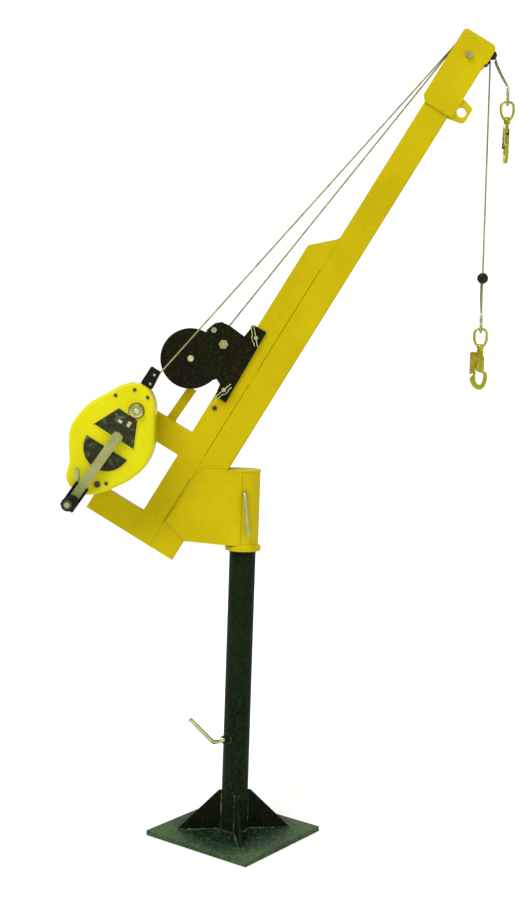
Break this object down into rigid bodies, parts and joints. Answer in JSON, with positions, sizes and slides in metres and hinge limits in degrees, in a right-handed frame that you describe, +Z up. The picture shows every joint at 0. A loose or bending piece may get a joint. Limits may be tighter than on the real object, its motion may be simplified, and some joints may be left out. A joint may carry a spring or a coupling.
{
  "type": "column davit hoist",
  "caption": "Small hoist crane: gusseted column base, swivelling fixed-angle boom, crank-handled cable unit, geared plate winch, wire ropes and swivel snap hooks.",
  "frame": {"origin": "centre of the base plate's underside, on the column's axis", "axes": "+Z up the column, +X the way the boom reaches at rest, +Y away from the side that carries the cable unit"},
  "size_m": [1.246, 0.5264, 2.3437],
  "materials": {
    "frame_yellow": "satin paint",
    "case_yellow": "moulded, smooth",
    "base_green": "dark green-black paint, rubbed",
    "winch_black": "black paint",
    "zinc": "zinc plated",
    "yellow_zinc": "yellow passivated zinc",
    "wire_rope": "galvanised strand",
    "black_plastic": "matt",
    "nylon": "black machined nylon",
    "label_dark": "printed film, blank",
    "knob_chrome": "polished",
    "rubber_grip": "matt",
    "spring_steel": "oiled"
  },
  "bodies": {
    "base": {"base_plate": "base_green", "base_gussets": "base_green", "base_tube": "base_green", "clamp_nut": "base_green", "column_bushes": "nylon"},
    "clamp_handle": {"clamp_screw": "zinc"},
    "crane": {"mast_spigot": "frame_yellow", "head_sleeve": "frame_yellow", "knee_plates": "frame_yellow", "knee_cap": "frame_yellow", "boom_tube": "frame_yellow", "stiffener_tube": "frame_yellow", "closing_plates": "frame_yellow", "lower_arm": "frame_yellow", "upper_arm": "frame_yellow", "strut_bar": "frame_yellow", "head_cheeks": "frame_yellow", "head_strips": "frame_yellow", "lifting_lug": "frame_yellow", "sheave_axle": "zinc", "head_spacers": "zinc", "exit_guide": "winch_black", "hoist_rope": "wire_rope", "retrieve_rope": "wire_rope", "unit_front_shell": "case_yellow", "unit_back_shell": "case_yellow", "unit_mount_plate": "frame_yellow", "unit_spring": "spring_steel", "unit_label": "label_dark", "unit_nose": "black_plastic", "unit_screws": "zinc", "winch_plates": "winch_black", "winch_bolts": "zinc", "hitch_pins": "zinc", "hoist_drop": "wire_rope", "retrieve_end": "wire_rope", "retrieve_ball": "black_plastic", "retrieve_bail": "yellow_zinc"},
    "head_pin": {"lock_pin": "zinc"},
    "sheave_front": {"retrieve_sheave": "zinc"},
    "sheave_back": {"hoist_sheave": "zinc"},
    "unit_reel": {"unit_drum": "zinc"},
    "unit_crank": {"crank_shaft": "zinc", "crank_arm": "zinc", "crank_channel": "winch_black"},
    "unit_grip": {"crank_grip": "rubber_grip"},
    "unit_selector": {"unit_knob": "knob_chrome"},
    "unit_catch": {"unit_lever": "zinc"},
    "winch_reel": {"winch_drum": "winch_black"},
    "winch_drive": {"drive_shaft": "zinc"},
    "clip_a": {"clip_upper": "zinc"},
    "clip_b": {"clip_lower": "zinc"},
    "hoist_end": {"hoist_ball": "black_plastic", "hoist_bail": "yellow_zinc"},
    "hoist_hook_body": {"hoist_hook": "yellow_zinc"},
    "hoist_gate_body": {"hoist_gate": "yellow_zinc"},
    "hoist_lock_body": {"hoist_lock": "yellow_zinc"},
    "retrieve_hook_body": {"retrieve_hook": "yellow_zinc"},
    "retrieve_gate_body": {"retrieve_gate": "yellow_zinc"},
    "retrieve_lock_body": {"retrieve_lock": "yellow_zinc"}
  },
  "joints": [
    {"name": "clamp_turn", "type": "hinge", "parent": "base", "child": "clamp_handle", "pos_m": [0, 0, 0.281], "axis": [-0.7071, -0.7071, 0], "range_deg": [0, 720]},
    {"name": "slew", "type": "hinge", "parent": "base", "child": "crane", "pos_m": [0, 0, 0.834], "axis": [0, 0, 1], "continuous": true},
    {"name": "head_pin_pull", "type": "slide", "parent": "crane", "child": "head_pin", "axis": [0, -1, 0], "range_m": [0, 0.045]},
    {"name": "unit_drum_spin", "type": "hinge", "parent": "crane", "child": "unit_reel", "pos_m": [-0.38373, -0.1, 1.12337], "axis": [0, 1, 0], "continuous": true},
    {"name": "retrieve_sheave_spin", "type": "hinge", "parent": "crane", "child": "sheave_front", "pos_m": [0.601, -0.018, 2.268], "axis": [0, 1, 0], "continuous": true},
    {"name": "crank_spin", "type": "hinge", "parent": "crane", "child": "unit_crank", "pos_m": [-0.35758, -0.16, 1.15025], "axis": [0, 1, 0], "continuous": true},
    {"name": "grip_spin", "type": "hinge", "parent": "unit_crank", "child": "unit_grip", "pos_m": [-0.47287, -0.22, 0.97172], "axis": [0, 1, 0], "continuous": true},
    {"name": "selector_pull", "type": "slide", "parent": "crane", "child": "unit_selector", "axis": [0, -1, 0], "range_m": [0, 0.004]},
    {"name": "catch_turn", "type": "hinge", "parent": "crane", "child": "unit_catch", "pos_m": [-0.46873, -0.152, 1.05813], "axis": [0, 1, 0], "range_deg": [-25, 25]},
    {"name": "winch_drum_spin", "type": "hinge", "parent": "crane", "child": "winch_reel", "pos_m": [-0.16603, 0, 1.37642], "axis": [0, 1, 0], "range_deg": [0, 1235]},
    {"name": "hoist_sheave_spin", "type": "hinge", "parent": "crane", "child": "sheave_back", "pos_m": [0.601, 0.018, 2.268], "axis": [0, 1, 0], "range_deg": [-618, 0]},
    {"name": "drive_shaft_spin", "type": "hinge", "parent": "crane", "child": "winch_drive", "pos_m": [-0.07311, 0, 1.41977], "axis": [0, 1, 0], "range_deg": [-4100, 0]},
    {"name": "hoist_lift", "type": "slide", "parent": "crane", "child": "hoist_end", "axis": [0, 0, 1], "range_m": [0, 0.55], "deforming": ["hoist_drop"]},
    {"name": "clip_upper_pull", "type": "slide", "parent": "crane", "child": "clip_a", "axis": [-0.2062, 0, 0.9785], "range_m": [0, 0.042]},
    {"name": "clip_lower_pull", "type": "slide", "parent": "crane", "child": "clip_b", "axis": [-0.7513, 0, -0.66], "range_m": [0, 0.042]},
    {"name": "hoist_swivel", "type": "hinge", "parent": "hoist_end", "child": "hoist_hook_body", "pos_m": [0.672, 0.018, 1.432], "axis": [0, 0, 1], "continuous": true},
    {"name": "hoist_gate_hinge", "type": "hinge", "parent": "hoist_hook_body", "child": "hoist_gate_body", "pos_m": [0.673, 0.018, 1.405], "axis": [0, 1, 0], "range_deg": [0, 21], "stiffness_Nm_per_rad": 0.06, "springref_deg": -22.92},
    {"name": "hoist_lock_hinge", "type": "hinge", "parent": "hoist_hook_body", "child": "hoist_lock_body", "pos_m": [0.658, 0.018, 1.4], "axis": [0, 1, 0], "range_deg": [-5, 0], "stiffness_Nm_per_rad": 0.06, "springref_deg": 17.19},
    {"name": "retrieve_swivel", "type": "hinge", "parent": "crane", "child": "retrieve_hook_body", "pos_m": [0.72, -0.018, 2.086], "axis": [0, 0, 1], "continuous": true},
    {"name": "retrieve_gate_hinge", "type": "hinge", "parent": "retrieve_hook_body", "child": "retrieve_gate_body", "pos_m": [0.72, -0.019, 2.059], "axis": [1, 0, 0], "range_deg": [0, 21], "stiffness_Nm_per_rad": 0.06, "springref_deg": -22.92},
    {"name": "retrieve_lock_hinge", "type": "hinge", "parent": "retrieve_hook_body", "child": "retrieve_lock_body", "pos_m": [0.72, -0.004, 2.054], "axis": [1, 0, 0], "range_deg": [-5, 0], "stiffness_Nm_per_rad": 0.06, "springref_deg": 17.19}
  ],
  "couplings": [
    {"joint": "crank_spin", "follows": "unit_drum_spin", "ratio": -3.1667},
    {"joint": "retrieve_sheave_spin", "follows": "unit_drum_spin", "ratio": 0.60392},
    {"joint": "drive_shaft_spin", "follows": "winch_drum_spin", "ratio": -3.3158},
    {"joint": "hoist_sheave_spin", "follows": "winch_drum_spin", "ratio": -0.5},
    {"joint": "hoist_lift", "follows": "winch_drum_spin", "m_per_rad": 0.0255}
  ]
}
